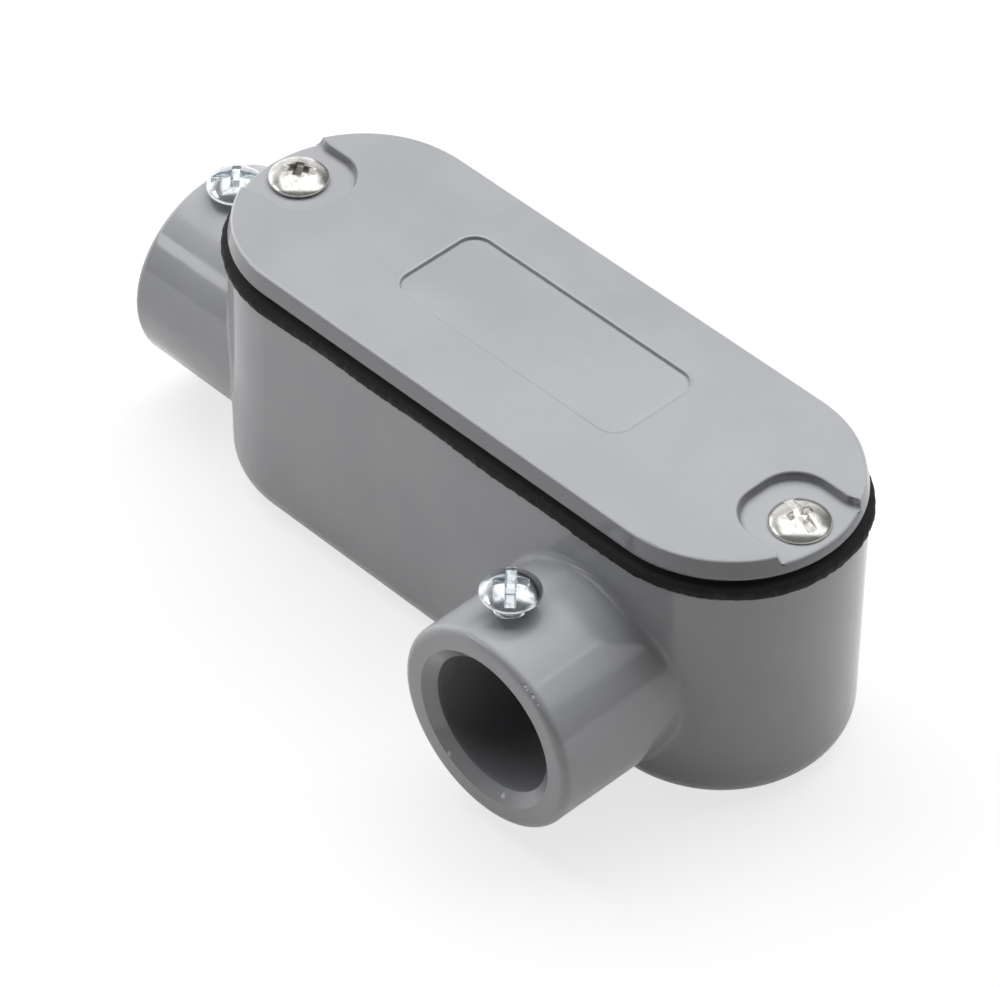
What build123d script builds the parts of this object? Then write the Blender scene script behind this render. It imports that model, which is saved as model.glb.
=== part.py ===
from build123d import *
import math
import os

# Set-screw conduit body with one hub at the end and one at the side.
# Millimetres, +Z up. The origin is the middle of the flat back, X runs along
# the length, the end hub leaves towards -X and the side hub towards -Y.

# Housing: a long cup with round ends, open at the top
half_straight = 31.2  # from the middle to the centre of each round end
body_radius = 17.0  # outside, at the rim
body_height = 34.6
body_draft = 0.25  # degrees, narrower towards the back
back_round = 4.5
rim_round = 0.3
wall = 2.8
floor_thickness = 3.0
floor_bevel = 0.8
chamber_draft = 0.5

# Hubs, alike at the end and at the side
hub_radius = 13.7
hub_lift = 2.1  # of the lowest line of both hubs above the back
hub_face_round = 1.1
hub_root_round = 1.0
socket_radius = 9.2
mouth_radius = 10.7
mouth_depth = 1.3
throat_radius = 7.9
stop_thickness = 1.8  # of the ledge that stops the conduit
end_hub_length = 11.55  # beyond the round end of the body
side_hub_length = 17.2  # beyond the side of the body
side_hub_inset = 5.6  # from the centre of the round end, towards the middle
end_block = 7.5  # solid metal behind the end hub, from the outside inwards

# Cover screws and their bosses inside the housing
cover_screw_reach = 11.7  # from the centre of each round end, outwards
boss_radius = 4.2
cover_screw_length = 11.0
hole_spare = 1.0  # that a blind hole is deeper than its screw
thread_radius = 2.08
tapped_clearance = 0.05
clear_hole_radius = 2.45

# Gasket, cut a little larger than what it seals
gasket_thickness = 2.35
gasket_proud = 0.35
gasket_setback = 0.3  # of its window from the edge of the chamber

# Cover plate
cover_radius = 16.9
cover_thickness = 3.0
cover_draft = 12.0
cover_edge_round = 0.42
cover_foot_round = 0.6
recess_depth = 1.25
recess_half_width = 5.9  # at the floor
recess_nose = 6.5  # from the screw towards the middle, at the floor
recess_corner = 4.6
recess_slope = 22.0  # degrees that the walls lean outwards
recess_foot_round = 0.7
recess_lip = 0.1  # height of the softened edge at the top of the walls
recess_lip_slope = 55.0
recess_edge_round = 0.55
recess_flare = 1.1  # outwards, where the walls run out at the plate's edge
recess_flare_length = 2.4
recess_flare_round = 2.2
panel_length = 38.4
panel_width = 14.3
panel_corner = 2.6
panel_depth = 0.4
panel_slope = 20.0
panel_centre = (-0.5, 0.9)

# Screw heads
head_radius = 3.8
cover_head_height = 1.9
set_head_height = 2.05
head_side = 0.28  # height of the upright rim
slot_width = 1.2
slot_depth = 1.4
cross_length = 4.1
cross_width = 1.0
cross_depth = 1.75
tip_chamfer = 0.45
near_cover_slot = -16.0  # degrees from X
far_cover_slot = 35.0
side_set_slot = -46.0
end_set_slot = 44.0

# Set screws: how far each head stands above the top of its hub
set_screw_length = 5.0
set_screw_clearance = 0.05
side_screw_offset = -2.7  # from the hub's axis, along X
side_screw_inset = 6.9  # from the hub's face
side_screw_gap = 2.55
end_screw_inset = 4.95
end_screw_gap = 0.6

hub_height = hub_radius + hub_lift
end_hub_reach = half_straight + body_radius + end_hub_length
side_hub_reach = body_radius + side_hub_length
side_hub_x = half_straight - side_hub_inset
cover_screw_x = half_straight + cover_screw_reach
cover_base = body_height + gasket_thickness
cover_top = cover_base + cover_thickness
recess_floor = cover_top - recess_depth
flare_end = half_straight + math.sqrt(cover_radius**2 - recess_half_width**2)
flare_start = flare_end - recess_flare_length
recess_lean = (recess_depth - recess_lip) * math.tan(math.radians(recess_slope))
chamber_radius = body_radius - wall
chamber_end = -(half_straight + body_radius - end_block)
side_socket_depth = side_hub_reach - chamber_radius - stop_thickness
end_socket_depth = end_hub_reach + chamber_end - stop_thickness
mouth_angle = 2 * math.degrees(math.atan2(mouth_radius - socket_radius, mouth_depth))

cover_hole_depth = cover_screw_length + hole_spare - (recess_floor - body_height)

side_mouth = Plane(
    origin=(side_hub_x, -side_hub_reach, hub_height), x_dir=(1, 0, 0), z_dir=(0, -1, 0)
)
end_mouth = Plane(
    origin=(-end_hub_reach, 0, hub_height), x_dir=(0, -1, 0), z_dir=(-1, 0, 0)
)
rim = Plane.XY.offset(body_height)

side_screw_x = side_hub_x + side_screw_offset
side_screw_y = -side_hub_reach + side_screw_inset
side_screw_seat = hub_height + math.sqrt(hub_radius**2 - side_screw_offset**2)
end_screw_x = -end_hub_reach + end_screw_inset
end_screw_seat = hub_height + hub_radius


# The chamber seen from above: a slot, squared off at both ends, with a round
# boss at each cover screw
def chamber_outline(setback):
    radius = chamber_radius + setback
    with BuildSketch() as outline:
        SlotCenterToCenter(2 * half_straight, 2 * radius)
        for end, align in (
            (cover_screw_x + setback, Align.MIN),
            (chamber_end - setback, Align.MAX),
        ):
            with Locations((end, 0)):
                Rectangle(
                    4 * radius, 4 * radius, align=(align, Align.CENTER), mode=Mode.SUBTRACT
                )
        with Locations((cover_screw_x, 0), (-cover_screw_x, 0)):
            Circle(boss_radius - setback, mode=Mode.SUBTRACT)
    return outline.sketch


# The hollow inside the housing, narrower towards its floor
with BuildPart() as chamber:
    with BuildSketch(rim):
        add(chamber_outline(0))
    extrude(amount=floor_thickness - body_height, taper=chamber_draft)
    chamfer(chamber.faces().sort_by(Axis.Z)[0].edges(), length=floor_bevel)

# Housing, one casting
with BuildPart() as housing:
    with BuildSketch(rim):
        SlotCenterToCenter(2 * half_straight, 2 * body_radius)
    extrude(amount=-body_height, taper=body_draft)
    fillet(housing.faces().sort_by(Axis.Z)[0].edges(), radius=back_round)

    for mouth, reach in ((side_mouth, side_hub_reach), (end_mouth, end_hub_reach - half_straight)):
        with BuildSketch(mouth):
            Circle(hub_radius)
        extrude(amount=-reach)
        roots = housing.edges(Select.LAST).filter_by(GeomType.CIRCLE, reverse=True)
        fillet(roots, radius=hub_root_round)

    # rounded rim, hub faces and the hollow inside
    fillet(housing.faces().sort_by(Axis.Z)[-1].outer_wire().edges(), radius=rim_round)
    for axis in (Axis.X, Axis.Y):
        fillet(housing.faces().sort_by(axis)[0].edges(), radius=hub_face_round)
    add(chamber.part, mode=Mode.SUBTRACT)

    # conduit sockets with their lead-in, the stop ledge and the throat
    for mouth, depth, reach in (
        (side_mouth, side_socket_depth, side_hub_reach),
        (end_mouth, end_socket_depth, end_hub_reach),
    ):
        with Locations(mouth):
            CounterSinkHole(socket_radius, mouth_radius, depth, mouth_angle)
            Hole(throat_radius, reach)

    # tapped holes: blind ones for the cover, open ones over each socket
    with Locations((cover_screw_x, 0, body_height), (-cover_screw_x, 0, body_height)):
        Hole(thread_radius + tapped_clearance, cover_hole_depth)
    for x, y in ((side_screw_x, side_screw_y), (end_screw_x, 0)):
        with Locations((x, y, body_height)):
            Hole(thread_radius + set_screw_clearance, body_height - hub_height)
housing.part.label = "housing"

# Gasket, a flat rubber ring between rim and cover
with BuildPart() as gasket:
    with BuildSketch(rim):
        SlotCenterToCenter(2 * half_straight, 2 * (body_radius + gasket_proud))
        add(chamber_outline(gasket_setback), mode=Mode.SUBTRACT)
        with Locations((cover_screw_x, 0), (-cover_screw_x, 0)):
            Circle(clear_hole_radius, mode=Mode.SUBTRACT)
    extrude(amount=gasket_thickness)
gasket.part.label = "gasket"

# The recess over one screw seen from above, at its floor or widened to where
# its walls have leant outwards
def recess_outline(side, widening):
    half_width = recess_half_width + widening
    flare_half_width = half_width + recess_flare
    with BuildSketch() as outline:
        with Locations((cover_screw_x - recess_nose - widening, 0)):
            RectangleRounded(
                4 * recess_nose,
                2 * half_width,
                recess_corner + widening,
                align=(Align.MIN, Align.CENTER),
            )
        with BuildLine():
            Polyline(
                (flare_start, half_width),
                (flare_end, flare_half_width),
                (2 * flare_end, flare_half_width),
                (2 * flare_end, -flare_half_width),
                (flare_end, -flare_half_width),
                (flare_start, -half_width),
                close=True,
            )
        make_face()
        bends = [
            outline.vertices().sort_by_distance((flare_start, y))[0]
            for y in (half_width, -half_width)
        ]
        fillet(bends, radius=recess_flare_round)
    return outline.sketch if side > 0 else outline.sketch.mirror(Plane.YZ)


# What the recesses take from the cover: leaning walls with a rounded foot and a
# softened top edge, and all that is below the floor of each
with BuildPart() as recesses:
    for side in (1, -1):
        with BuildSketch(Plane.XY.offset(recess_floor)):
            add(recess_outline(side, 0))
        extrude(amount=2 * recess_depth, taper=-recess_slope)
    fillet(recesses.faces().group_by(Axis.Z)[0].edges(), radius=recess_foot_round)
    for side in (1, -1):
        with BuildSketch(Plane.XY.offset(cover_top - recess_lip)):
            add(recess_outline(side, recess_lean))
        extrude(amount=recess_depth, taper=-recess_lip_slope)
        with BuildSketch(Plane.XY.offset(recess_floor)):
            add(recess_outline(side, 0))
        extrude(amount=-cover_thickness)

# Cover: the raised middle of the plate, cut away over each screw
with BuildPart() as raised_face:
    with BuildSketch(Plane.XY.offset(cover_base)):
        SlotCenterToCenter(2 * half_straight, 2 * cover_radius)
    extrude(amount=cover_thickness, taper=cover_draft)
    fillet(raised_face.faces().sort_by(Axis.Z)[-1].edges(), radius=cover_edge_round)
    fillet(raised_face.faces().sort_by(Axis.Z)[0].edges(), radius=cover_foot_round)
    add(recesses.part, mode=Mode.SUBTRACT)
    with BuildSketch(Plane.XY.offset(cover_top)):
        with Locations(panel_centre):
            RectangleRounded(panel_length, panel_width, panel_corner)
    extrude(amount=-panel_depth, taper=panel_slope, mode=Mode.SUBTRACT)

# The whole plate at the height of the recess floors, and the face on it
with BuildPart() as cover:
    with BuildSketch(Plane.XY.offset(cover_base)):
        SlotCenterToCenter(2 * half_straight, 2 * cover_radius)
    extrude(amount=cover_thickness - recess_depth, taper=cover_draft)
    fillet(cover.faces().sort_by(Axis.Z)[-1].edges(), radius=recess_edge_round)
    fillet(cover.faces().sort_by(Axis.Z)[0].edges(), radius=cover_foot_round)
    add(raised_face.part)
    with Locations((cover_screw_x, 0, recess_floor), (-cover_screw_x, 0, recess_floor)):
        Hole(clear_hole_radius, cover_thickness)
cover.part.label = "cover"


# A pan-head screw with a slot and a cross in its head, its thread left plain
def pan_head_screw(label, x, y, seat, length, head_height, slot_angle):
    with BuildPart() as screw:
        with BuildSketch(Plane((x, y, seat), x_dir=(1, 0, 0), z_dir=(0, -1, 0))):
            with BuildLine():
                Polyline(
                    (0, head_height),
                    (0, -length),
                    (thread_radius - tip_chamfer, -length),
                    (thread_radius, tip_chamfer - length),
                    (thread_radius, 0),
                    (head_radius, 0),
                    (head_radius, head_side),
                )
                TangentArc((0, head_height), (head_radius, head_side), tangent=(1, 0))
            make_face()
        revolve(axis=Axis((x, y, seat), (0, 0, 1)))
        drive = Plane((x, y, seat + head_height)).rotated((0, 0, slot_angle))
        with BuildSketch(drive.offset(-slot_depth)):
            Rectangle(3 * head_radius, slot_width)
        extrude(amount=2 * slot_depth, mode=Mode.SUBTRACT)
        with BuildSketch(drive.offset(-cross_depth)):
            Rectangle(cross_length, cross_width)
            Rectangle(cross_width, cross_length)
        extrude(amount=2 * cross_depth, mode=Mode.SUBTRACT)
    screw.part.label = label
    return screw.part


near_cover_screw = pan_head_screw(
    "near_cover_screw",
    cover_screw_x,
    0,
    recess_floor,
    cover_screw_length,
    cover_head_height,
    near_cover_slot,
)
far_cover_screw = pan_head_screw(
    "far_cover_screw",
    -cover_screw_x,
    0,
    recess_floor,
    cover_screw_length,
    cover_head_height,
    far_cover_slot,
)
side_set_screw = pan_head_screw(
    "side_set_screw",
    side_screw_x,
    side_screw_y,
    side_screw_seat + side_screw_gap,
    set_screw_length,
    set_head_height,
    side_set_slot,
)
end_set_screw = pan_head_screw(
    "end_set_screw",
    end_screw_x,
    0,
    end_screw_seat + end_screw_gap,
    set_screw_length,
    set_head_height,
    end_set_slot,
)

pieces = (
    housing.part,
    gasket.part,
    cover.part,
    near_cover_screw,
    far_cover_screw,
    side_set_screw,
    end_set_screw,
)
os.makedirs("parts", exist_ok=True)
for piece in pieces:
    export_step(piece, f"parts/{piece.label}.step")
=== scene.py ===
import math
import bmesh
import bpy
from mathutils import Matrix, Vector, geometry, noise


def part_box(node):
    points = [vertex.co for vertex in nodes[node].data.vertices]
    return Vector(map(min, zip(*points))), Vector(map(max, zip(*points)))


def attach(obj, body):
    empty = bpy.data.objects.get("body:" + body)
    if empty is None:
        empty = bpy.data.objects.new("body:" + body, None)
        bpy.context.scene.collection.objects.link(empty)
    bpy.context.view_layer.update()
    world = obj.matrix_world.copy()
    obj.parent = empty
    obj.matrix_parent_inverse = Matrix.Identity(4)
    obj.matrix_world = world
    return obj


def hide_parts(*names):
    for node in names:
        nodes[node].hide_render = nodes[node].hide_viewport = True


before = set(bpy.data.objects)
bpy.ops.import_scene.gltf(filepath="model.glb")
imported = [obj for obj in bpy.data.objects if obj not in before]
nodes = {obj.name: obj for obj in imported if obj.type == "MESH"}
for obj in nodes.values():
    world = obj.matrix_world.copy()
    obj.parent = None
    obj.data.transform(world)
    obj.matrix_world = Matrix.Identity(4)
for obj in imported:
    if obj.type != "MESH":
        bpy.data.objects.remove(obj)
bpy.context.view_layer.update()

scene = bpy.context.scene
print("frame loaded:", ", ".join(sorted(nodes)))


def rad(degrees):
    return math.radians(degrees)


def turnedTo(across, upwards, outwards):
    return Matrix((across, upwards, outwards)).transposed().to_4x4()


# camera, where the photograph was taken from
cameraSetup = {
    "azimuth": 45.494,
    "elevation": 43.031,
    "roll": 0.506,
    "distance": 0.7074,
    "aim": (-0.01428, 0.00735, 0.0),
    "lens": 200.77,
    "sensor": 36,
    "clip": (0.01, 20),
}


def placeCamera(setup):
    az, el, roll = (rad(setup[key]) for key in ("azimuth", "elevation", "roll"))
    back = Vector((math.sin(az) * math.cos(el), -math.cos(az) * math.cos(el), math.sin(el)))
    right = Vector((math.cos(az), math.sin(az), 0))
    up = back.cross(right)
    side = right * math.cos(roll) + up * math.sin(roll)
    top = up * math.cos(roll) - right * math.sin(roll)
    data = bpy.data.cameras.new("photoCamera")
    data.lens = setup["lens"]
    data.sensor_width = setup["sensor"]
    data.sensor_fit = "HORIZONTAL"
    data.clip_start, data.clip_end = setup["clip"]
    camera = bpy.data.objects.new("photoCamera", data)
    stand = Vector(setup["aim"]) + back * setup["distance"]
    camera.matrix_world = Matrix.Translation(stand) @ turnedTo(side, top, back)
    scene.collection.objects.link(camera)
    scene.camera = camera


placeCamera(cameraSetup)
scene.view_settings.view_transform = "Standard"
print("camera placed")


# small helpers for node trees
def addNode(tree, kind, spot, **settings):
    node = tree.nodes.new(kind)
    node.location = spot
    for name, value in settings.items():
        setattr(node, name, value)
    return node


def plug(tree, socket, value):
    if isinstance(value, bpy.types.NodeSocket):
        tree.links.new(value, socket)
    elif value is not None:
        socket.default_value = value


def maths(tree, spot, operation, *values):
    node = addNode(tree, "ShaderNodeMath", spot, operation=operation)
    for socket, value in zip(node.inputs, values):
        plug(tree, socket, value)
    return node.outputs[0]


def vectorMaths(tree, spot, operation, *values):
    node = addNode(tree, "ShaderNodeVectorMath", spot, operation=operation)
    for socket, value in zip(node.inputs, values):
        plug(tree, socket, value)
    return node.outputs["Value"]


def product(tree, spot, first, *others):
    total = first
    for column, other in enumerate(others):
        total = maths(tree, (spot[0] + 150 * column, spot[1]), "MULTIPLY", total, other)
    return total


def hypotenuse(tree, spot, *sides):
    squares = [
        maths(tree, (spot[0] - 150, spot[1] - 60 * row), "MULTIPLY", side, side)
        for row, side in enumerate(sides)
    ]
    return maths(tree, (spot[0] + 150, spot[1]), "SQRT", maths(tree, spot, "ADD", *squares))


def ramp(tree, spot, value, low, high, start=0.0, end=1.0, smooth=True):
    node = addNode(tree, "ShaderNodeMapRange", spot)
    node.interpolation_type = "SMOOTHSTEP" if smooth else "LINEAR"
    ends = (("From Min", low), ("From Max", high), ("To Min", start), ("To Max", end))
    for name, number in (("Value", value), *ends):
        plug(tree, node.inputs[name], number)
    return node.outputs["Result"]


def blendValue(tree, spot, factor, first, second):
    node = addNode(tree, "ShaderNodeMix", spot, data_type="FLOAT")
    for index, value in ((0, factor), (2, first), (3, second)):
        plug(tree, node.inputs[index], value)
    return node.outputs[0]


def blendColour(tree, spot, factor, first, second, way="MIX"):
    node = addNode(tree, "ShaderNodeMix", spot, data_type="RGBA", blend_type=way)
    for index, value in ((0, factor), (6, first), (7, second)):
        plug(tree, node.inputs[index], value)
    return node.outputs[2]


def splitAxes(tree, spot, vector):
    node = addNode(tree, "ShaderNodeSeparateXYZ", spot)
    plug(tree, node.inputs[0], vector)
    return node.outputs


def noiseValue(tree, spot, vector, scale, detail, roughness=0.5):
    node = addNode(tree, "ShaderNodeTexNoise", spot)
    plug(tree, node.inputs["Scale"], scale)
    node.inputs["Detail"].default_value = detail
    node.inputs["Roughness"].default_value = roughness
    plug(tree, node.inputs["Vector"], vector)
    return node.outputs["Fac"]


def newGroup(name, kind, inputs, outputs):
    tree = bpy.data.node_groups.new(name, kind)
    for label, socketType, value in inputs:
        socket = tree.interface.new_socket(label, in_out="INPUT", socket_type=socketType)
        if value is not None:
            socket.default_value = value
    for label, socketType in outputs:
        tree.interface.new_socket(label, in_out="OUTPUT", socket_type=socketType)
    enter = addNode(tree, "NodeGroupInput", (-900, 0))
    return tree, enter.outputs, addNode(tree, "NodeGroupOutput", (900, 0))


# shader groups shared by the finishes
dustPatches = {"scale": 260, "detail": 4, "roughness": 0.65}
castMottle = {"scale": 70, "detail": 3, "roughness": 0.6}
castDetail = {"coarse": 2.0, "fine": 3.0}


def dustGroup():
    tree, give, leave = newGroup(
        "looseDust",
        "ShaderNodeTree",
        (
            ("Vector", "NodeSocketVector", None),
            ("Colour", "NodeSocketColor", (0.5, 0.5, 0.5, 1)),
            ("Dust Colour", "NodeSocketColor", (0.8, 0.8, 0.8, 1)),
            ("Speck Scale", "NodeSocketFloat", 900.0),
            ("Speck Size", "NodeSocketFloat", 0.12),
            ("Speck Patches", "NodeSocketFloat", 0.62),
            ("Strength", "NodeSocketFloat", 0.6),
        ),
        (("Colour", "NodeSocketColor"), ("Mask", "NodeSocketFloat")),
    )
    cells = addNode(tree, "ShaderNodeTexVoronoi", (-600, 100))
    plug(tree, cells.inputs["Vector"], give["Vector"])
    plug(tree, cells.inputs["Scale"], give["Speck Scale"])
    speck = maths(tree, (-350, 100), "LESS_THAN", cells.outputs["Distance"], give["Speck Size"])
    patches = noiseValue(tree, (-600, -200), give["Vector"], **dustPatches)
    kept = maths(tree, (-350, -200), "GREATER_THAN", patches, give["Speck Patches"])
    mask = product(tree, (-100, 0), speck, kept, give["Strength"])
    colour = blendColour(tree, (350, 0), mask, give["Colour"], give["Dust Colour"])
    plug(tree, leave.inputs["Colour"], colour)
    plug(tree, leave.inputs["Mask"], mask)
    return tree


def grainGroup():
    tree, give, leave = newGroup(
        "castGrain",
        "ShaderNodeTree",
        (
            ("Vector", "NodeSocketVector", None),
            ("Coarse Scale", "NodeSocketFloat", 250.0),
            ("Fine Scale", "NodeSocketFloat", 1800.0),
            ("Fine Share", "NodeSocketFloat", 0.3),
        ),
        (("Height", "NodeSocketFloat"), ("Coarse", "NodeSocketFloat"), ("Mottle", "NodeSocketFloat")),
    )
    place = give["Vector"]
    coarse = noiseValue(tree, (-600, 150), place, give["Coarse Scale"], castDetail["coarse"])
    fine = noiseValue(tree, (-600, -150), place, give["Fine Scale"], castDetail["fine"])
    plug(tree, leave.inputs["Height"], blendValue(tree, (-200, 0), give["Fine Share"], coarse, fine))
    plug(tree, leave.inputs["Coarse"], coarse)
    plug(tree, leave.inputs["Mottle"], noiseValue(tree, (-600, -450), place, **castMottle))
    return tree


looseDust = dustGroup()
castGrain = grainGroup()


def newMaterial(name):
    material = bpy.data.materials.new(name)
    material.use_nodes = True
    tree = material.node_tree
    tree.nodes.clear()
    output = addNode(tree, "ShaderNodeOutputMaterial", (900, 0))
    shader = addNode(tree, "ShaderNodeBsdfPrincipled", (550, 0))
    tree.links.new(shader.outputs[0], output.inputs["Surface"])
    place = addNode(tree, "ShaderNodeTexCoord", (-1200, 0))
    return material, tree, shader, place.outputs["Object"]


def addGroup(tree, spot, group, values):
    node = addNode(tree, "ShaderNodeGroup", spot, node_tree=group)
    for label, value in values.items():
        plug(tree, node.inputs[label], value)
    return node.outputs


def addBump(tree, spot, height, strength, distance, normal=None):
    node = addNode(tree, "ShaderNodeBump", spot)
    node.inputs["Strength"].default_value = strength
    node.inputs["Distance"].default_value = distance
    plug(tree, node.inputs["Height"], height)
    plug(tree, node.inputs["Normal"], normal)
    return node.outputs[0]


# grey enamel on the castings; a pair of numbers is where a mask begins and where it is full
enamel = {
    "light": (0.452, 0.456, 0.472, 1),
    "dark": (0.425, 0.430, 0.447, 1),
    "toneSpan": (0.35, 0.65),
    "roughness": (0.075, 0.12),
    "roughnessSpan": (0.3, 0.7),
    "grain": {"Coarse Scale": 520.0, "Fine Scale": 2600.0, "Fine Share": 0.25},
    "dust": {
        "Dust Colour": (0.86, 0.87, 0.9, 1),
        "Speck Scale": 1500.0,
        "Speck Size": 0.11,
        "Speck Patches": 0.7,
        "Strength": 0.5,
    },
    "peelHeight": 0.000006,
    "grainHeight": 0.000004,
    "grainStrength": 0.5,
    # painted shade: this colour is multiplied in where shade falls in the sockets, on the recess walls
    # and on the cover's flank
    "paintedShade": (0.55, 0.55, 0.56, 1),
    "socket": {
        "paintedShade": 0.6,
        "height": 0.0158,
        "sideHubPlace": 0.0256,
        "radius": (0.0097, 0.0094),
        "sideHubDepth": (-0.0334, -0.0165),
        "endHubDepth": (-0.0590, -0.0430),
        "mouthFade": 0.0015,
        "ledgeFade": 0.0005,
    },
    "recess": {
        "screwPlace": 0.0429,
        "reach": (0.0105, 0.0095),
        "height": (0.0386, 0.0390),
        "steep": (0.97, 0.55),
    },
    # the cover's outline and foot; rimShadeStrength is how strongly painted shade darkens its flank
    "cover": {"roundEnd": 0.0312, "edge": (0.0160, 0.0154), "foot": (0.0369, 0.0371), "rimShadeStrength": 0.5},
    # painted highlight: a paler line along the cover's top edge, in place of a reflection
    "edgeHighlight": {
        "colour": (0.62, 0.62, 0.63, 1),
        "fromFlat": (0.98, 0.9),
        "fromUpright": (0.25, 0.55),
        "reach": (0.0152, 0.0155),
        "height": (0.0392, 0.0394),
    },
    "panel": {
        "centre": (-0.0005, 0.0009),
        "half": (0.0192, 0.00715),
        "corner": 0.0026,
        "height": (0.0390, 0.0393),
        "lip": 0.00042,
        "rise": 0.00011,
    },
    # pale colour of chipped paint, and of the painted highlight on the mouth's chamfer
    "chipAndGlint": (0.8, 0.8, 0.81, 1),
    "nickDepth": 0.00012,
    "nickFloor": 0.3,
    # where sand or a knock left a pit in the casting, with its radius; the two at y -33.7 mm, on the
    # mouth's chamfer, are a painted highlight
    "nicksAndGlints": (
        ((0.02290, -0.03420, 0.02929), 0.00045),
        ((0.03207, -0.03392, 0.02752), 0.00030),
        ((0.03246, -0.03395, 0.02726), 0.00022),
        ((0.03335, -0.03388, 0.02676), 0.00034),
        ((0.03424, -0.03390, 0.02604), 0.00020),
        ((0.02823, -0.03370, 0.00632), 0.00055),
        ((0.02742, -0.03370, 0.00625), 0.00035),
        ((0.01955, -0.03420, 0.00724), 0.00040),
    ),
}


def nickAndGlintMask(tree, place, settings):
    total = None
    for row, (centre, radius) in enumerate(settings["nicksAndGlints"]):
        height = -500 - 60 * row
        away = vectorMaths(tree, (-700, height), "DISTANCE", place, centre)
        pit = ramp(tree, (-500, height), away, radius * settings["nickFloor"], radius, 1.0, 0.0)
        total = pit if total is None else maths(tree, (-300, height), "MAXIMUM", total, pit)
    return total


# the inside of one socket, from its mouth to the ledge
def socketMask(tree, row, across, along, depth, socket):
    mouth, ledge = depth
    inside = ramp(tree, (-400, row), hypotenuse(tree, (-650, row), *across), *socket["radius"])
    entered = ramp(tree, (-400, row + 60), along, mouth, mouth + socket["mouthFade"])
    ended = ramp(tree, (-400, row + 120), along, ledge + socket["ledgeFade"], ledge)
    return product(tree, (-200, row), inside, entered, ended)


# painted shade: darker in the sockets, on the walls round the cover screws and on the cover's flank,
# where shade falls; and a painted highlight, a paler line along the cover's top edge
def paintedLightMasks(tree, place, axes, settings):
    x, y, z = axes
    socket, recess, cover, edgeHighlight = (settings[key] for key in ("socket", "recess", "cover", "edgeHighlight"))
    above = maths(tree, (-850, 900), "SUBTRACT", z, socket["height"])
    aside = maths(tree, (-850, 800), "SUBTRACT", x, socket["sideHubPlace"])
    inSideHub = socketMask(tree, 900, (aside, above), y, socket["sideHubDepth"], socket)
    inEndHub = socketMask(tree, 700, (y, above), x, socket["endHubDepth"], socket)
    inHub = maths(tree, (-100, 800), "MAXIMUM", inSideHub, inEndHub)
    socketShade = product(tree, (0, 800), inHub, socket["paintedShade"])

    normal = addNode(tree, "ShaderNodeNewGeometry", (-1000, 350)).outputs["Normal"]
    upwards = splitAxes(tree, (-850, 350), normal)["Z"]
    steep = ramp(tree, (-400, 350), upwards, *recess["steep"])
    lengthwise = maths(tree, (-1000, 500), "ABSOLUTE", x)
    fromScrew = maths(tree, (-850, 500), "SUBTRACT", lengthwise, recess["screwPlace"])
    nearScrew = ramp(tree, (-400, 500), hypotenuse(tree, (-650, 500), fromScrew, y), *recess["reach"])
    high = ramp(tree, (-400, 200), z, *recess["height"])

    past = maths(tree, (-1000, 100), "SUBTRACT", lengthwise, cover["roundEnd"])
    reach = hypotenuse(tree, (-650, 100), maths(tree, (-850, 100), "MAXIMUM", past, 0.0), y)
    inner = ramp(tree, (-400, 100), reach, *cover["edge"])
    outer = maths(tree, (-200, 100), "SUBTRACT", 1.0, inner)
    flank = ramp(tree, (-400, -50), z, *cover["foot"])
    # painted shade on the walls round the cover screws and on the cover's flank near its foot
    wallShade = product(tree, (-200, 400), nearScrew, inner, steep, high)
    rimShade = product(tree, (-100, 100), outer, cover["rimShadeStrength"], flank, steep)
    paintedShade = maths(tree, (150, 600), "MAXIMUM", socketShade, wallShade)
    paintedShade = maths(tree, (250, 600), "MAXIMUM", paintedShade, rimShade)

    # painted highlight along the cover's top edge
    paintedHighlight = product(
        tree, (-250, -150),
        ramp(tree, (-400, -150), upwards, *edgeHighlight["fromFlat"]),
        ramp(tree, (-400, -250), upwards, *edgeHighlight["fromUpright"]),
        ramp(tree, (-400, -350), reach, *edgeHighlight["reach"]),
        ramp(tree, (-400, -450), z, *edgeHighlight["height"]),
    )
    return paintedShade, paintedHighlight


# the raised lip that the mould left round the sunk panel
def panelLip(tree, axes, panel):
    beyond = []
    for k in (0, 1):
        row = -800 - 100 * k
        offset = maths(tree, (-1000, row), "SUBTRACT", axes[k], panel["centre"][k])
        reach = maths(tree, (-850, row), "ABSOLUTE", offset)
        past = maths(tree, (-700, row), "SUBTRACT", reach, panel["half"][k] - panel["corner"])
        beyond.append(maths(tree, (-550, row), "MAXIMUM", past, 0.0))
    fromCorner = hypotenuse(tree, (-350, -850), *beyond)
    outline = maths(tree, (-100, -850), "SUBTRACT", fromCorner, panel["corner"])
    away = maths(tree, (50, -850), "ABSOLUTE", outline)
    lip = ramp(tree, (200, -850), away, 0.0, panel["lip"], 1.0, 0.0)
    return product(tree, (350, -900), lip, ramp(tree, (50, -1000), axes[2], *panel["height"]))


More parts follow.
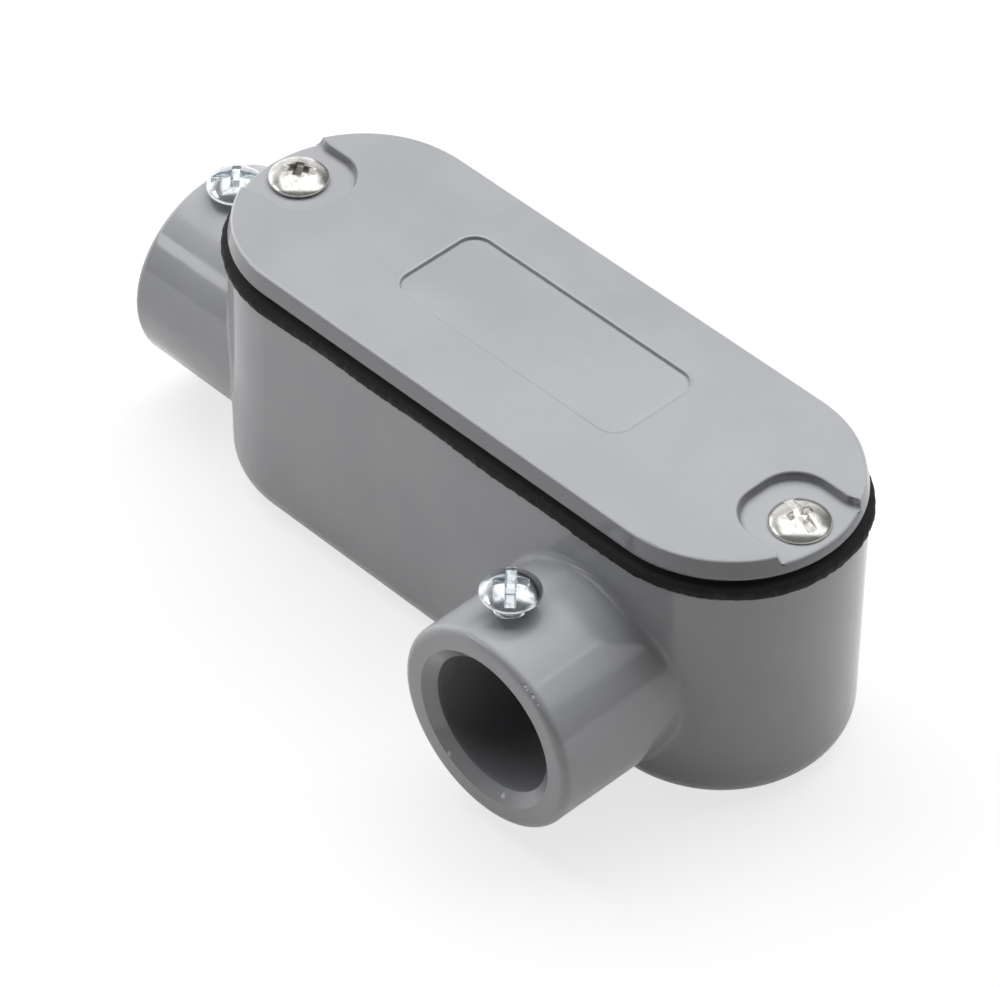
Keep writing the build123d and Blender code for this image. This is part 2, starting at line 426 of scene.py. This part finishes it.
def enamelMaterial(settings):
    material, tree, shader, place = newMaterial("greyEnamel")
    axes = splitAxes(tree, (-1000, 700), place)
    grain = addGroup(tree, (-900, 0), castGrain, {"Vector": place, **settings["grain"]})
    tone = ramp(tree, (-600, 200), grain["Mottle"], *settings["toneSpan"])
    colour = blendColour(tree, (-350, 200), tone, settings["dark"], settings["light"])
    paintedShade, paintedHighlight = paintedLightMasks(tree, place, axes, settings)
    # painted shade, then a painted highlight along the cover's top edge
    colour = blendColour(tree, (-200, 200), paintedShade, colour, settings["paintedShade"], "MULTIPLY")
    colour = blendColour(tree, (-180, 200), paintedHighlight, colour, settings["edgeHighlight"]["colour"])
    # chipped paint, and a painted highlight on the mouth's chamfer
    nicksAndGlints = nickAndGlintMask(tree, place, settings)
    colour = blendColour(tree, (-150, 200), nicksAndGlints, colour, settings["chipAndGlint"])
    inputs = {"Vector": place, "Colour": colour, **settings["dust"]}
    dust = addGroup(tree, (-100, 200), looseDust, inputs)
    plug(tree, shader.inputs["Base Color"], dust["Colour"])
    sheen = ramp(tree, (-350, -50), grain["Mottle"], *settings["roughnessSpan"], *settings["roughness"])
    plug(tree, shader.inputs["Roughness"], sheen)
    pits = product(tree, (-100, -500), nicksAndGlints, -1.0)
    lip = panelLip(tree, axes, settings["panel"])
    normal = None
    for column, (height, strength, distance) in enumerate((
        (pits, 1.0, settings["nickDepth"]),
        (lip, 1.0, settings["panel"]["rise"]),
        (grain["Coarse"], 1.0, settings["peelHeight"]),
        (grain["Height"], settings["grainStrength"], settings["grainHeight"]),
    )):
        normal = addBump(tree, (100 + 100 * column, -500), height, strength, distance, normal)
    plug(tree, shader.inputs["Normal"], normal)
    return material


# black foam rubber
rubber = {
    "light": (0.020, 0.0185, 0.018, 1),
    "dark": (0.006, 0.006, 0.007, 1),
    "toneSpan": (0.35, 0.7),
    "roughness": (0.55, 0.8),
    "roughnessSpan": (0.3, 0.7),
    "specular": 0.3,
    "grain": {"Coarse Scale": 900.0, "Fine Scale": 3000.0, "Fine Share": 0.4},
    "grainHeight": 0.00006,
    "grainStrength": 0.6,
    "dust": {
        "Dust Colour": (0.3, 0.3, 0.31, 1),
        "Speck Scale": 2300.0,
        "Speck Size": 0.2,
        "Speck Patches": 0.68,
        "Strength": 0.25,
    },
}


def rubberMaterial(settings):
    material, tree, shader, place = newMaterial("blackRubber")
    grain = addGroup(tree, (-900, 0), castGrain, {"Vector": place, **settings["grain"]})
    tone = ramp(tree, (-600, 200), grain["Height"], *settings["toneSpan"])
    colour = blendColour(tree, (-350, 200), tone, settings["dark"], settings["light"])
    inputs = {"Vector": place, "Colour": colour, **settings["dust"]}
    dust = addGroup(tree, (-100, 200), looseDust, inputs)
    plug(tree, shader.inputs["Base Color"], dust["Colour"])
    rough = ramp(tree, (-350, -50), grain["Height"], *settings["roughnessSpan"], *settings["roughness"])
    plug(tree, shader.inputs["Roughness"], rough)
    shader.inputs["Specular IOR Level"].default_value = settings["specular"]
    strength, distance = settings["grainStrength"], settings["grainHeight"]
    normal = addBump(tree, (200, -300), grain["Height"], strength, distance)
    plug(tree, shader.inputs["Normal"], normal)
    return material


# plating on the screws: what both kinds share, then each kind's own
plating = {
    "grain": {"Coarse Scale": 700.0, "Fine Scale": 4000.0, "Fine Share": 0.3},
    "grainHeight": 0.000006,
    "grainStrength": 0.5,
    "blotches": {"scale": 900, "detail": 4, "roughness": 0.6},
    "toneSpan": (0.34, 0.5),
    "polishSpan": (0.35, 0.65),
    "driveDarkRoughness": 0.6,
    "driveDarkFade": 1.5,
}
nickel = {
    "name": "brightPlating",
    "light": (0.84, 0.82, 0.78, 1),
    "dark": (0.62, 0.60, 0.56, 1),
    "roughness": (0.3, 0.2),
    "driveDark": (0.27, 0.245, 0.205, 1),
    "driveDarkCentre": (-0.0429, 0.0, 0.0398),
    "driveDarkRadius": 0.0019,
}
zinc = {
    "name": "bluishZinc",
    "light": (0.76, 0.80, 0.83, 1),
    "dark": (0.54, 0.59, 0.6, 1),
    "roughness": (0.25, 0.16),
    # the darker middle of this screw's cross is painted shade
    "driveDark": (0.22, 0.24, 0.24, 1),
    "driveDarkCentre": (0.0229, -0.0273, 0.0327),
    "driveDarkRadius": 0.0008,
}


def platingMaterial(shared, settings):
    material, tree, shader, place = newMaterial(settings["name"])
    shader.inputs["Metallic"].default_value = 1.0
    grain = addGroup(tree, (-900, 0), castGrain, {"Vector": place, **shared["grain"]})
    blotch = noiseValue(tree, (-900, 300), place, **shared["blotches"])
    tone = ramp(tree, (-600, 200), blotch, *shared["toneSpan"])
    colour = blendColour(tree, (-350, 200), tone, settings["dark"], settings["light"])
    # one drive is painted darker towards its middle, ending raggedly along the blotches
    radius = settings["driveDarkRadius"]
    away = vectorMaths(tree, (-900, -400), "DISTANCE", place, settings["driveDarkCentre"])
    ragged = maths(tree, (-500, -400), "ADD", away, product(tree, (-700, -400), blotch, radius))
    driveDark = ramp(tree, (-300, -400), ragged, radius, radius * shared["driveDarkFade"], 1.0, 0.0)
    colour = blendColour(tree, (-100, 200), driveDark, colour, settings["driveDark"])
    plug(tree, shader.inputs["Base Color"], colour)
    polish = ramp(tree, (-350, -50), blotch, *shared["polishSpan"], *settings["roughness"])
    rough = blendValue(tree, (-100, -100), driveDark, polish, shared["driveDarkRoughness"])
    plug(tree, shader.inputs["Roughness"], rough)
    strength, distance = shared["grainStrength"], shared["grainHeight"]
    normal = addBump(tree, (200, -300), grain["Coarse"], strength, distance)
    plug(tree, shader.inputs["Normal"], normal)
    return material


greyEnamel = enamelMaterial(enamel)
blackRubber = rubberMaterial(rubber)
brightPlating = platingMaterial(plating, nickel)
bluishZinc = platingMaterial(plating, zinc)
print("finishes made")


# castings keep the shape of the frame
for name in ("housing", "cover"):
    for holder in nodes[name].material_slots:
        holder.material = greyEnamel


def linkPiece(name, mesh):
    data = bpy.data.meshes.new(name)
    mesh.to_mesh(data)
    mesh.free()
    piece = bpy.data.objects.new(name, data)
    scene.collection.objects.link(piece)
    return piece


def soleFinish(piece, material):
    piece.data.materials.clear()
    piece.data.materials.append(material)


# gasket: a ragged, hand-cut rubber edge that bulges out under the cover
gasketEdge = {
    "halfStraight": 0.0312,
    "bodyRadius": 0.0170,
    # how far each row stands out from the body, from the rim up to the cover
    "rows": (
        (0.0, 0.00022), (0.1, 0.00034), (0.3, 0.00036), (0.48, 0.00028), (0.58, 0.00006),
        (0.66, -0.0004), (0.76, -0.0009), (0.88, -0.0011), (1.0, -0.0011),
    ),
    "step": 0.00016,
    # each wave's length, height and phase, all calmer towards the cover
    "waves": ((0.019, 0.00010, 1.7), (0.047, 0.00009, 4.1)),
    "calming": 0.6,
    # bulges: which round end, angle about it, width and height
    "bulges": ((-1, 205, 38, 0.00036), (1, 20, 30, 0.00016), (1, -60, 25, 0.0001)),
    "bulgeFrom": 0.9,
    # torn edge: its height, the foam's thickness and the noise per millimetre
    "raggedness": 0.00011,
    "thickness": 0.0024,
    "coarseTears": 1.1,
    "fineTears": 3.1,
    "fineShare": 0.6,
    "fineShift": (7, 3, 1),
    "sharpAngle": 35,
    "flatTop": 0.9,
    "mergeDistance": 1e-6,
}


def mergedCopy(source, distance):
    mesh = bmesh.new()
    mesh.from_mesh(source.data)
    mesh.transform(source.matrix_world)
    bmesh.ops.remove_doubles(mesh, verts=mesh.verts, dist=distance)
    return mesh


# outlines of the flat top, the longest one first
def capLoops(mesh, flatness):
    mesh.normal_update()
    following = {}
    for edge in mesh.edges:
        ups = [face for face in edge.link_faces if face.normal.z > flatness]
        if len(ups) == 1:
            for corner in ups[0].loops:
                if corner.edge == edge:
                    following[corner.vert] = corner.link_loop_next.vert
    loops = []
    while following:
        vert = next(iter(following))
        loop = []
        while vert in following:
            loop.append((vert.co.x, vert.co.y))
            vert = following.pop(vert)
        loops.append(loop)
    return sorted(loops, key=lambda loop: -max(abs(x) for x, y in loop))


def slotPoint(settings, distance, offset):
    half, radius = settings["halfStraight"], settings["bodyRadius"]
    straight, turn = 2 * half, math.pi * radius
    distance %= 2 * (straight + turn)
    side = 1 if distance < straight + turn else -1
    distance %= straight + turn
    if distance < turn:
        angle = -math.pi / 2 + distance / radius
        x, y = half + (radius + offset) * math.cos(angle), (radius + offset) * math.sin(angle)
    else:
        x, y = half - (distance - turn), radius + offset
    return Vector((side * x, side * y))


def edgeOffset(settings, distance, level, base):
    place = slotPoint(settings, distance, 0)
    half = settings["halfStraight"]
    share = 1 - settings["calming"] * level
    offset = base
    for length, height, phase in settings["waves"]:
        offset += height * share * math.sin(2 * math.pi * distance / length + phase)
    for side, angle, width, height in settings["bulges"]:
        aside = math.degrees(math.atan2(place.y, place.x - side * half)) - angle
        aside = (aside + 180) % 360 - 180
        if place.x * side > half * settings["bulgeFrom"] and abs(aside) < 2 * width:
            offset += height * math.exp(-((aside / width) ** 2))
    millimetres = Vector((place.x, place.y, level * settings["thickness"])) * 1000
    fine = noise.noise(millimetres * settings["fineTears"] + Vector(settings["fineShift"]))
    rough = noise.noise(millimetres * settings["coarseTears"]) + settings["fineShare"] * fine
    return offset + settings["raggedness"] * share * rough


def edgeRow(mesh, settings, level, base, height):
    perimeter = 4 * settings["halfStraight"] + 2 * math.pi * settings["bodyRadius"]
    count = int(perimeter / settings["step"])
    row = []
    for k in range(count):
        distance = perimeter * k / count
        point = slotPoint(settings, distance, edgeOffset(settings, distance, level, base))
        row.append(mesh.verts.new((point.x, point.y, height)))
    return row


def buildGasket(settings, source):
    blank = mergedCopy(source, settings["mergeDistance"])
    openings = capLoops(blank, settings["flatTop"])[1:]
    low = min(vert.co.z for vert in blank.verts)
    high = max(vert.co.z for vert in blank.verts)
    blank.free()
    mesh = bmesh.new()
    outside = [
        edgeRow(mesh, settings, level, base, low + (high - low) * level)
        for level, base in settings["rows"]
    ]
    walls = [outside] + [
        [[mesh.verts.new((x, y, z)) for x, y in loop] for z in (low, high)]
        for loop in openings
    ]
    for wall in walls:
        for lower, upper in zip(wall, wall[1:]):
            for k in range(len(lower)):
                n = (k + 1) % len(lower)
                mesh.faces.new((lower[k], lower[n], upper[n], upper[k]))
    for end in (0, -1):
        rings = [wall[end] for wall in walls]
        corners = [vert for ring in rings for vert in ring]
        for triangle in geometry.tessellate_polygon([[vert.co for vert in ring] for ring in rings]):
            mesh.faces.new([corners[k] for k in triangle])
    bmesh.ops.recalc_face_normals(mesh, faces=mesh.faces)
    for face in mesh.faces:
        face.smooth = True
    for edge in mesh.edges:
        edge.smooth = edge.calc_face_angle(0) < rad(settings["sharpAngle"])
    return linkPiece("gasket_dressed", mesh)


gasketPiece = buildGasket(gasketEdge, nodes["gasket"])
soleFinish(gasketPiece, blackRubber)
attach(gasketPiece, "housing")
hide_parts("gasket")
print("gasket", len(gasketPiece.data.polygons), "faces")


# screws: a domed blank, then drive and thread pressed in by one node tree
screwHead = {
    "radius": 0.0038,
    "grid": 150,
    "brimFall": 0.75,
    "leastBrim": 0.00001,
    # under the brim: how far in, and the share of the edge's height
    "underside": ((0, 0.55), (0.00001, 0.2), (0.00006, 0.0)),
    "slotWidth": 0.00118,
    "crossWidth": 0.00098,
    "softness": 0.00008,
    # the cross rises outwards: from and to a share of its length, and of its depth
    "crossRise": (0.25, 1.0, 1.0, 0.55),
    # shank
    "segments": 72,
    "sunkInHead": 0.0001,
    "rowStep": 0.00007,
    "tip": 0.00045,
    "tipRows": 6,
    "endShare": 0.5,
    "threadRadius": 0.00208,
    "threadDepth": 0.00042,
    "threadFlank": (0.06, 0.44),
    "pitch": 0.000794,
    "neck": 0.0003,
    "neckStart": 0.35,
    "shankTop": -0.00005,
    "leastRadius": 1e-7,
}
# cuts are the depths of slot and cross; lift is how high the screw was left standing
coverScrew = {
    "finish": brightPlating, "slot": "bright_steel", "length": 0.011, "dome": 0.0038,
    "side": 0.00028, "slotLength": 0.009,
}
setScrew = {
    "finish": bluishZinc, "slot": "zinc_steel", "length": 0.005, "dome": 0.00362,
    "crown": 0.9, "cross": 0.0041,
}
screws = {
    "near_cover_screw": {
        **coverScrew, "turn": -16, "lift": 0.0, "height": 0.00175, "crown": 0.75,
        "cuts": (0.0008, 0.0012), "cross": 0.0032,
    },
    "far_cover_screw": {
        **coverScrew, "turn": 35, "lift": 0.0003, "height": 0.0017, "crown": 0.8,
        "cuts": (0.0004, 0.001), "cross": 0.0025,
    },
    "side_set_screw": {
        **setScrew, "turn": -46, "lift": 0.0, "height": 0.00208, "side": 0.0005,
        "cuts": (0.0017, 0.0019), "slotLength": 0.0066,
    },
    "end_set_screw": {
        **setScrew, "turn": 44, "lift": 0.0003, "height": 0.00225, "side": 0.0006,
        "cuts": (0.0012, 0.0016), "slotLength": 0.009,
    },
}


# the set screws' domes end at a rounded brim, the cover screws' reach the edge
def domeHeight(head, settings, radius):
    dome, side = settings["dome"], settings["side"]
    share = min(radius / dome, 1)
    beyond = max(radius - dome, 0) / max(head["radius"] - dome, head["leastBrim"])
    brim = side * (1 - head["brimFall"] * min(beyond, 1) ** 2)
    return brim + (settings["height"] - side) * (1 - share ** 2) ** settings["crown"]


# a square grid drawn out to a disc, so that the drive lies on even cells
def addHead(mesh, head, settings):
    count, radius = head["grid"], head["radius"]
    edge = domeHeight(head, settings, radius)
    grid = []
    for j in range(count + 1):
        row = []
        for i in range(count + 1):
            u, v = 2 * i / count - 1, 2 * j / count - 1
            x, y = radius * u * math.sqrt(1 - v * v / 2), radius * v * math.sqrt(1 - u * u / 2)
            row.append(mesh.verts.new((x, y, domeHeight(head, settings, math.hypot(x, y)))))
        grid.append(row)
    for lower, upper in zip(grid, grid[1:]):
        for i in range(count):
            mesh.faces.new((lower[i], lower[i + 1], upper[i + 1], upper[i]))
    ring = grid[0][:-1] + [row[-1] for row in grid[:-1]]
    ring += grid[-1][:0:-1] + [row[0] for row in grid[:0:-1]]
    for inset, share in head["underside"]:
        lower = []
        for vert in ring:
            x, y = vert.co.x, vert.co.y
            scale = (radius - inset) / math.hypot(x, y)
            lower.append(mesh.verts.new((x * scale, y * scale, edge * share)))
        for k in range(len(ring)):
            n = (k + 1) % len(ring)
            mesh.faces.new((lower[k], lower[n], ring[n], ring[k]))
        ring = lower
    mesh.faces.new(ring[::-1])


def addShank(mesh, head, length):
    radius, tip, rows = head["threadRadius"], head["tip"], head["tipRows"]
    straight = length - tip
    steps = int(straight / head["rowStep"])
    profile = [(radius * share, head["sunkInHead"]) for share in (head["endShare"], 1)]
    profile += [(radius, -straight * k / steps) for k in range(steps + 1)]
    profile += [(radius - tip * k / rows, -straight - tip * k / rows) for k in range(1, rows + 1)]
    profile += [((radius - tip) * head["endShare"], -length)]
    count = head["segments"]
    turns = [2 * math.pi * k / count for k in range(count)]
    rings = [
        [mesh.verts.new((r * math.cos(turn), r * math.sin(turn), z)) for turn in turns]
        for r, z in profile
    ]
    for upper, lower in zip(rings, rings[1:]):
        for k in range(count):
            n = (k + 1) % count
            mesh.faces.new((upper[k], lower[k], lower[n], upper[n]))
    mesh.faces.new(rings[0])
    mesh.faces.new(rings[-1][::-1])


def screwBlank(name, head, settings):
    mesh = bmesh.new()
    addHead(mesh, head, settings)
    addShank(mesh, head, settings["length"])
    bmesh.ops.recalc_face_normals(mesh, faces=mesh.faces)
    return linkPiece(name, mesh)


# how far slot and cross reach down into the head
def pressedHeight(tree, give, head, axes):
    x, y, z = axes
    alongSlot = maths(tree, (-500, -200), "ABSOLUTE", x)
    acrossSlot = maths(tree, (-500, -350), "ABSOLUTE", y)
    halves = {
        label: product(tree, (-500, 300 - 100 * row), give[label], 0.5)
        for row, label in enumerate(("Slot Length", "Slot Width", "Cross Width", "Cross Length"))
    }

    def within(spot, distance, half):
        outer = maths(tree, spot, "ADD", half, give["Softness"])
        inner = maths(tree, (spot[0], spot[1] - 60), "SUBTRACT", half, give["Softness"])
        return ramp(tree, (spot[0] + 200, spot[1]), distance, outer, inner)

    def pressed(spot, height, depth, across, along):
        floor = maths(tree, (spot[0] - 200, spot[1]), "SUBTRACT", give["Head Height"], depth)
        mask = product(tree, (spot[0] - 200, spot[1] - 100), across, along)
        lower = maths(tree, spot, "MINIMUM", height, floor)
        return blendValue(tree, (spot[0] + 200, spot[1]), mask, height, lower)

    height = pressed(
        (0, 200), z, give["Slot Depth"],
        within((-300, 100), acrossSlot, halves["Slot Width"]),
        within((-300, 300), alongSlot, halves["Slot Length"]),
    )
    for along, across, row in ((alongSlot, acrossSlot, 0), (acrossSlot, alongSlot, -300)):
        share = maths(tree, (-300, row - 60), "DIVIDE", along, halves["Cross Length"])
        rise = ramp(tree, (-100, row - 60), share, *head["crossRise"], smooth=False)
        height = pressed(
            (450, row), height, product(tree, (100, row - 60), rise, give["Cross Depth"]),
            within((-100, row - 160), across, halves["Cross Width"]),
            within((-100, row - 260), along, halves["Cross Length"]),
        )
    return height


# the thread runs down the shank as one helix, and draws its rows in
def threadScale(tree, give, head, axes):
    x, y, z = axes
    turn = maths(tree, (-300, -600), "DIVIDE", maths(tree, (-500, -600), "ARCTAN2", y, x), 2 * math.pi)
    rise = maths(tree, (-300, -700), "DIVIDE", z, give["Thread Pitch"])
    phase = maths(tree, (-100, -650), "FRACT", maths(tree, (-200, -650), "SUBTRACT", rise, turn))
    phase = maths(tree, (50, -650), "ABSOLUTE", maths(tree, (0, -650), "SUBTRACT", phase, 0.5))
    groove = ramp(tree, (200, -650), phase, *head["threadFlank"], smooth=False)
    below = product(tree, (-300, -850), z, -1.0)
    neck = product(tree, (-200, -900), give["Neck Length"], head["neckStart"])
    start = ramp(tree, (-100, -850), below, neck, give["Neck Length"])
    depth = product(tree, (350, -700), groove, product(tree, (200, -800), start, give["Thread Depth"]))
    limit = maths(tree, (500, -700), "SUBTRACT", give["Thread Radius"], depth)
    radius = hypotenuse(tree, (-300, -1000), x, y)
    radius = maths(tree, (0, -1000), "MAXIMUM", radius, head["leastRadius"])
    drawnIn = maths(tree, (550, -800), "MINIMUM", radius, limit)
    scale = maths(tree, (650, -800), "DIVIDE", drawnIn, radius)
    onShank = maths(tree, (500, -950), "LESS_THAN", z, head["shankTop"])
    return blendValue(tree, (700, -900), onShank, 1.0, scale)


def screwTree(head):
    sizes = (
        ("Head Height", 0.002), ("Slot Width", head["slotWidth"]), ("Slot Depth", 0.0014),
        ("Slot Length", 0.009), ("Cross Length", 0.004), ("Cross Width", head["crossWidth"]),
        ("Cross Depth", 0.0018), ("Softness", head["softness"]),
        ("Thread Radius", head["threadRadius"]), ("Thread Depth", head["threadDepth"]),
        ("Thread Pitch", head["pitch"]), ("Neck Length", head["neck"]),
    )
    inputs = [("Geometry", "NodeSocketGeometry", None)]
    inputs += [(label, "NodeSocketFloat", value) for label, value in sizes]
    inputs += [("Finish", "NodeSocketMaterial", None)]
    outputs = (("Geometry", "NodeSocketGeometry"),)
    tree, give, leave = newGroup("pressedScrew", "GeometryNodeTree", inputs, outputs)
    place = addNode(tree, "GeometryNodeInputPosition", (-900, -300))
    axes = splitAxes(tree, (-700, -300), place.outputs[0])
    scale = threadScale(tree, give, head, axes)
    join = addNode(tree, "ShaderNodeCombineXYZ", (800, -300))
    plug(tree, join.inputs[0], product(tree, (750, -400), axes[0], scale))
    plug(tree, join.inputs[1], product(tree, (750, -500), axes[1], scale))
    plug(tree, join.inputs[2], pressedHeight(tree, give, head, axes))
    move = addNode(tree, "GeometryNodeSetPosition", (950, 0))
    smooth = addNode(tree, "GeometryNodeSetShadeSmooth", (1100, 0))
    real = addNode(tree, "GeometryNodeRealizeInstances", (1250, 0))
    paint = addNode(tree, "GeometryNodeSetMaterial", (1400, 0))
    leave.location = (1600, 0)
    plug(tree, move.inputs["Geometry"], give["Geometry"])
    plug(tree, move.inputs["Position"], join.outputs[0])
    plug(tree, smooth.inputs[0], move.outputs[0])
    plug(tree, real.inputs[0], smooth.outputs[0])
    plug(tree, paint.inputs["Geometry"], real.outputs[0])
    plug(tree, paint.inputs["Material"], give["Finish"])
    plug(tree, leave.inputs[0], paint.outputs[0])
    return tree


def setInputs(modifier, values):
    for item in modifier.node_group.interface.items_tree:
        if item.item_type == "SOCKET" and item.in_out == "INPUT" and item.name in values:
            modifier[item.identifier] = values[item.name]


def bakeNodes(piece, name):
    evaluated = piece.evaluated_get(bpy.context.evaluated_depsgraph_get())
    mesh = bpy.data.meshes.new_from_object(evaluated)
    piece.modifiers.clear()
    piece.data = mesh
    mesh.name = name


pressedScrew = screwTree(screwHead)
for name, settings in screws.items():
    low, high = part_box(name)
    seat = low.z + settings["length"] + settings["lift"]
    spot = Vector(((low.x + high.x) / 2, (low.y + high.y) / 2, seat))
    blank = screwBlank(name + "_dressed", screwHead, settings)
    shaping = blank.modifiers.new("pressed", "NODES")
    shaping.node_group = pressedScrew
    slotDepth, crossDepth = settings["cuts"]
    setInputs(shaping, {
        "Head Height": settings["height"],
        "Slot Depth": slotDepth,
        "Slot Length": settings["slotLength"],
        "Cross Depth": crossDepth,
        "Cross Length": settings["cross"],
        "Finish": settings["finish"],
    })
    bakeNodes(blank, name)
    blank.data.transform(Matrix.Translation(spot) @ Matrix.Rotation(rad(settings["turn"]), 4, "Z"))
    soleFinish(blank, settings["finish"])
    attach(blank, name)
    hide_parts(name)
    print("screw", name, len(blank.data.polygons), "faces")


# floor, lamps and world
studio = {
    "floorSize": 3.0,
    "floorLevel": -0.0001,
    "floorRoughness": 0.8,
    # the floor is one colour as light bounces off it, another as seen and another in a mirror
    "floorBounce": (0.755, 0.74, 0.725, 1),
    "floorShade": (0.26, 0.26, 0.26, 1),
    "floorSheen": (0.6, 0.6, 0.6, 1),
    "floorGlow": 0.75,
    "sheenGlow": 0.38,
    "worldStrength": 0.0,
    # what polished metal sees: a pale backdrop low behind the object, and a dark room elsewhere
    "backdropStrength": 0.85,
    "roomStrength": 0.16,
    "backdropTop": (0.72, 0.35),
    "backdropSide": (0.3, 0.85),
    "backdropHeading": (-0.45, 0.9, 0),
}
# polished metal mirrors this cloth in place of the lamp behind it: it hangs further forward,
# and is brightest in front
cloth = {
    "wide": 1.5,
    "front": -0.27,
    "back": 0.915,
    "height": 0.85,
    "strength": (1.2, 1.45),
    "fade": (0.8, 0.55),
}
# each lamp's place is metres to the right of the camera's line, behind the object and up
lamps = (
    {
        "name": "overheadSoftbox", "place": (0.0, 0.45, 0.85), "aim": (0.0, 0.45, 0.0),
        "size": (1.5, 0.93), "power": 15.3, "colour": (0.975, 0.987, 1.0), "cloth": cloth,
    },
    {
        "name": "rightSoftbox", "place": (0.8, 0.03, 0.62), "aim": (0, 0, 0.02),
        "size": (0.5, 0.5), "power": 0.8,
    },
    {
        "name": "leftSoftbox", "place": (-0.88, -0.02, 0.46), "aim": (0, 0, 0.02),
        "size": (0.4, 0.16), "power": 0.8,
    },
    {
        "name": "backLeftStrip", "place": (-0.73, 0.57, 0.2), "aim": (0, 0, 0.02),
        "size": (0.5, 0.35), "power": 0.4,
    },
)


def addPlane(name, corners, material):
    data = bpy.data.meshes.new(name)
    data.from_pydata(corners, [], [tuple(range(len(corners)))])
    data.materials.append(material)
    plane = bpy.data.objects.new(name, data)
    scene.collection.objects.link(plane)
    return plane


def fromCamera(place):
    right, behind, up = place
    az = rad(cameraSetup["azimuth"])
    x = right * math.cos(az) - behind * math.sin(az)
    y = right * math.sin(az) + behind * math.cos(az)
    return Vector((x, y, up))


def buildFloor(settings):
    material, tree, shader, place = newMaterial("paleFloor")
    shader.inputs["Roughness"].default_value = settings["floorRoughness"]
    rays = addNode(tree, "ShaderNodeLightPath", (-500, -300)).outputs
    mirrored = rays["Is Glossy Ray"]
    seen = maths(tree, (-300, -300), "MAXIMUM", rays["Is Camera Ray"], rays["Is Transmission Ray"])
    colour = blendColour(tree, (0, 0), mirrored, settings["floorBounce"], settings["floorSheen"])
    colour = blendColour(tree, (300, 0), seen, colour, settings["floorShade"])
    plug(tree, shader.inputs["Base Color"], colour)
    shader.inputs["Emission Color"].default_value = (1, 1, 1, 1)
    glow = product(tree, (0, -300), mirrored, settings["sheenGlow"])
    glow = blendValue(tree, (300, -300), seen, glow, settings["floorGlow"])
    plug(tree, shader.inputs["Emission Strength"], glow)
    half, level = settings["floorSize"] / 2, settings["floorLevel"]
    signs = ((-1, -1), (1, -1), (1, 1), (-1, 1))
    addPlane("floor", [(half * x, half * y, level) for x, y in signs], material)


def lampFrame(lamp):
    stand = fromCamera(lamp["place"])
    outwards = (stand - fromCamera(lamp["aim"])).normalized()
    if abs(outwards.z) > 0.9:
        across = fromCamera((1, 0, 0))
    else:
        across = Vector((0, 0, 1)).cross(outwards).normalized()
    return Matrix.Translation(stand) @ turnedTo(across, outwards.cross(across), outwards)


def buildCloth(settings, lamp):
    name = lamp["name"] + "Cloth"
    material = bpy.data.materials.new(name)
    material.use_nodes = True
    tree = material.node_tree
    tree.nodes.clear()
    place = addNode(tree, "ShaderNodeTexCoord", (-600, 0)).outputs["Object"]
    behind = vectorMaths(tree, (-400, 0), "DOT_PRODUCT", place, fromCamera((0, 1, 0)))
    glow = addNode(tree, "ShaderNodeEmission", (0, 0))
    glow.inputs["Color"].default_value = (*lamp["colour"], 1)
    strength = ramp(tree, (-200, 0), behind, *settings["fade"], *settings["strength"])
    plug(tree, glow.inputs["Strength"], strength)
    output = addNode(tree, "ShaderNodeOutputMaterial", (300, 0))
    tree.links.new(glow.outputs[0], output.inputs["Surface"])
    half, front, back = settings["wide"] / 2, settings["front"], settings["back"]
    corners = ((-half, front), (-half, back), (half, back), (half, front))
    sheet = addPlane(name, [fromCamera((x, y, settings["height"])) for x, y in corners], material)
    sheet.visible_camera = sheet.visible_diffuse = False
    sheet.visible_transmission = sheet.visible_shadow = False


def buildLamps():
    for lamp in lamps:
        data = bpy.data.lights.new(lamp["name"], "AREA")
        data.shape = "RECTANGLE"
        data.size, data.size_y = lamp["size"]
        data.energy = lamp["power"]
        data.color = lamp.get("colour", (1, 1, 1))
        holder = bpy.data.objects.new(lamp["name"], data)
        holder.matrix_world = lampFrame(lamp)
        scene.collection.objects.link(holder)
        if "cloth" in lamp:
            holder.visible_glossy = False
            buildCloth(lamp["cloth"], lamp)


def buildWorld(settings):
    world = bpy.data.worlds.new("studioAir")
    world.use_nodes = True
    tree = world.node_tree
    tree.nodes.clear()
    heading = addNode(tree, "ShaderNodeTexCoord", (-900, 0)).outputs["Generated"]
    height = splitAxes(tree, (-700, 100), heading)["Z"]
    low = ramp(tree, (-450, 100), height, *settings["backdropTop"])
    backdrop = fromCamera(settings["backdropHeading"])
    behind = vectorMaths(tree, (-700, -100), "DOT_PRODUCT", heading, backdrop)
    side = ramp(tree, (-450, -100), behind, *settings["backdropSide"])
    onBackdrop = product(tree, (-300, 0), low, side)
    room, bright = settings["roomStrength"], settings["backdropStrength"]
    mirrored = blendValue(tree, (-200, 0), onBackdrop, room, bright)
    rays = addNode(tree, "ShaderNodeLightPath", (-450, -400)).outputs
    strength = blendValue(tree, (0, 0), rays["Is Glossy Ray"], settings["worldStrength"], mirrored)
    seen = maths(tree, (0, -300), "MAXIMUM", rays["Is Camera Ray"], rays["Is Transmission Ray"])
    air = addNode(tree, "ShaderNodeBackground", (500, 0))
    air.inputs["Color"].default_value = (1, 1, 1, 1)
    plug(tree, air.inputs["Strength"], blendValue(tree, (250, 0), seen, strength, 1.0))
    output = addNode(tree, "ShaderNodeOutputWorld", (900, 0))
    tree.links.new(air.outputs[0], output.inputs[0])
    scene.world = world


buildFloor(studio)
buildLamps()
buildWorld(studio)
print("studio built")
